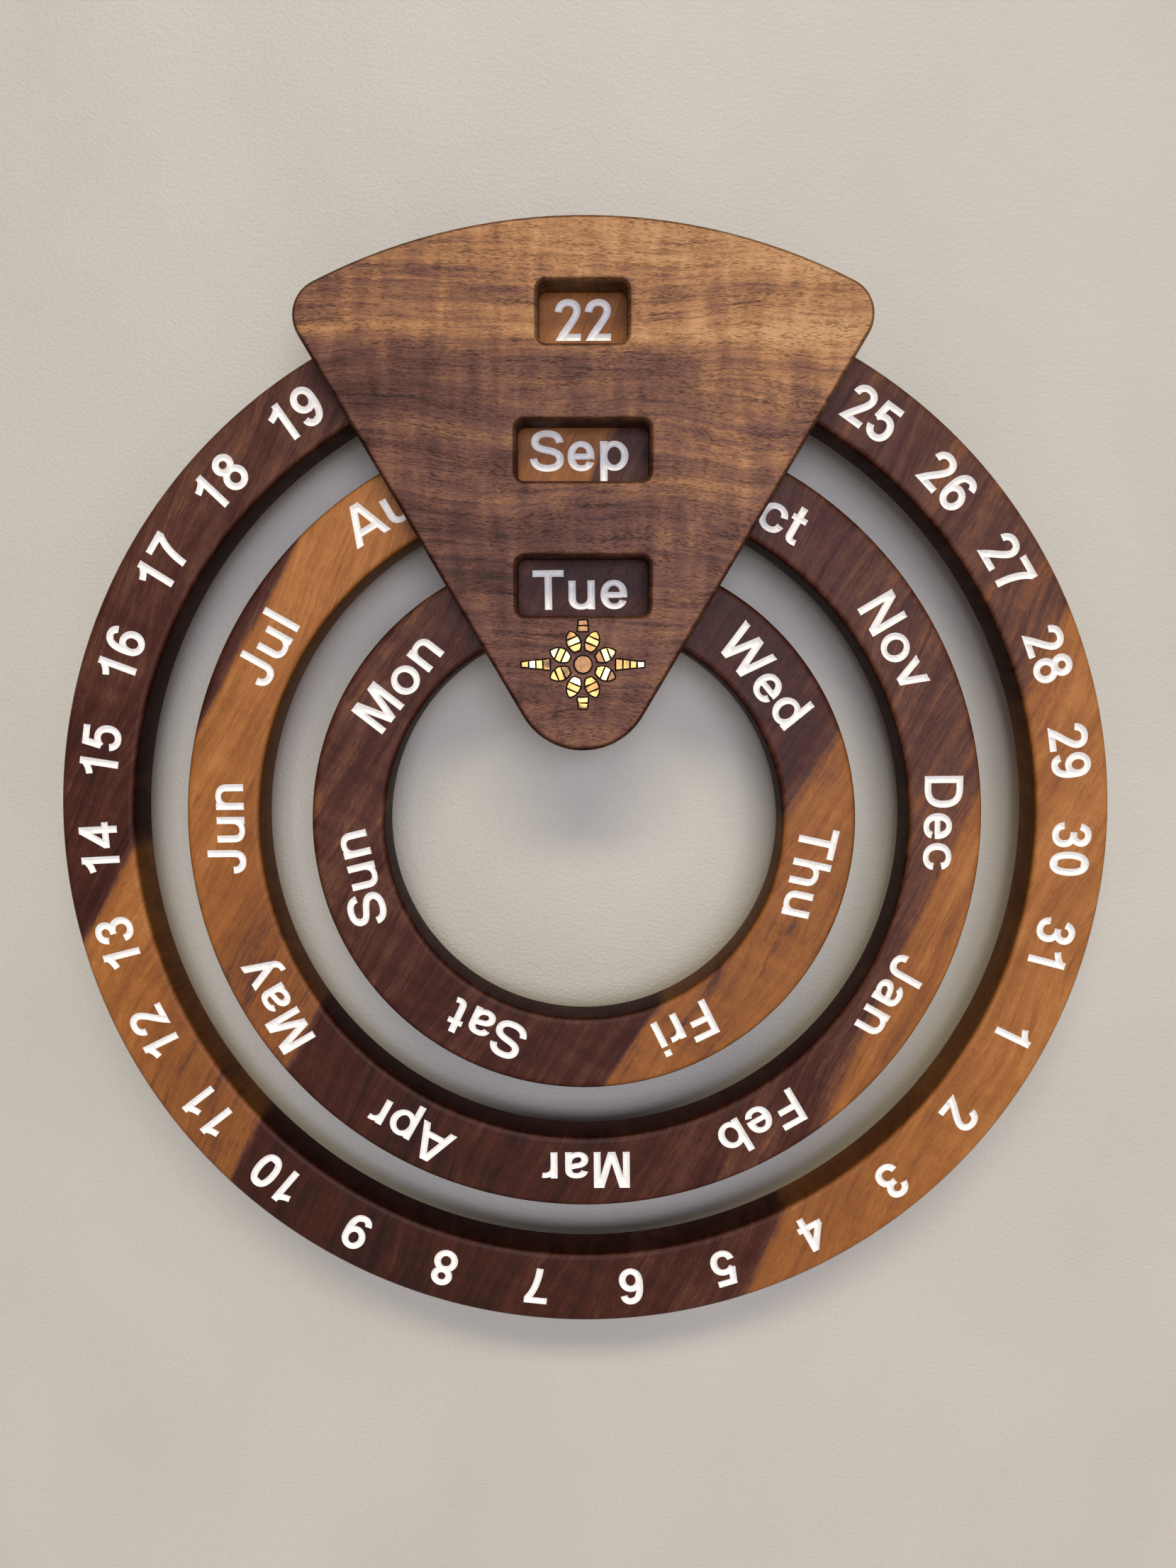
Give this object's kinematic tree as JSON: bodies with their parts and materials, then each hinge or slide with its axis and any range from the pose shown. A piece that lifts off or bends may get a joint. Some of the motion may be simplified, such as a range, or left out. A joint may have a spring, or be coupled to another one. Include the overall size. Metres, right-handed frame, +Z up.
{
  "type": "perpetual wall calendar",
  "caption": "Wall-hung perpetual calendar: concentric walnut rings of dates, months and weekdays turn behind a fan-shaped board with windows and a gold mosaic inlay.",
  "frame": {"origin": "on the wall, on the centre line, level with the seats of the two hanging keyholes", "axes": "+X to the viewer's right, +Y into the wall, +Z up; the calendar faces -Y"},
  "size_m": [0.3999, 0.0431, 0.4182],
  "materials": {
    "board_walnut": "oiled satin",
    "ring_walnut": "oiled satin",
    "back_walnut": "sawn and lightly sanded",
    "gold_glass": "gold-backed glass",
    "dark_grout": "matt",
    "plate_steel": "zinc-plated",
    "zinc_screws": "yellow zinc"
  },
  "bodies": {
    "frame": {"front_board": "board_walnut", "wall_board": "back_walnut", "date_saddle": "back_walnut", "month_saddle": "back_walnut", "weekday_saddle": "back_walnut", "date_saddle_screws": "zinc_screws", "month_saddle_screws": "zinc_screws", "weekday_saddle_screws": "zinc_screws", "left_hanger_plate": "plate_steel", "right_hanger_plate": "plate_steel", "left_hanger_screws": "zinc_screws", "right_hanger_screws": "zinc_screws", "mosaic_bed": "dark_grout", "centre_tile": "gold_glass", "rosette_tiles": "gold_glass", "left_arm_tiles": "gold_glass", "right_arm_tiles": "gold_glass", "upright_arm_tiles": "gold_glass"},
    "dates": {"date_ring": "ring_walnut"},
    "months": {"month_ring": "ring_walnut"},
    "weekdays": {"weekday_ring": "ring_walnut"}
  },
  "joints": [
    {"name": "dates_turn", "type": "hinge", "parent": "frame", "child": "dates", "pos_m": [0, -0.0215, -0.176], "axis": [0, -1, 0], "continuous": true},
    {"name": "months_turn", "type": "hinge", "parent": "frame", "child": "months", "pos_m": [0, -0.0215, -0.176], "axis": [0, -1, 0], "continuous": true},
    {"name": "weekdays_turn", "type": "hinge", "parent": "frame", "child": "weekdays", "pos_m": [0, -0.0215, -0.176], "axis": [0, -1, 0], "continuous": true}
  ]
}
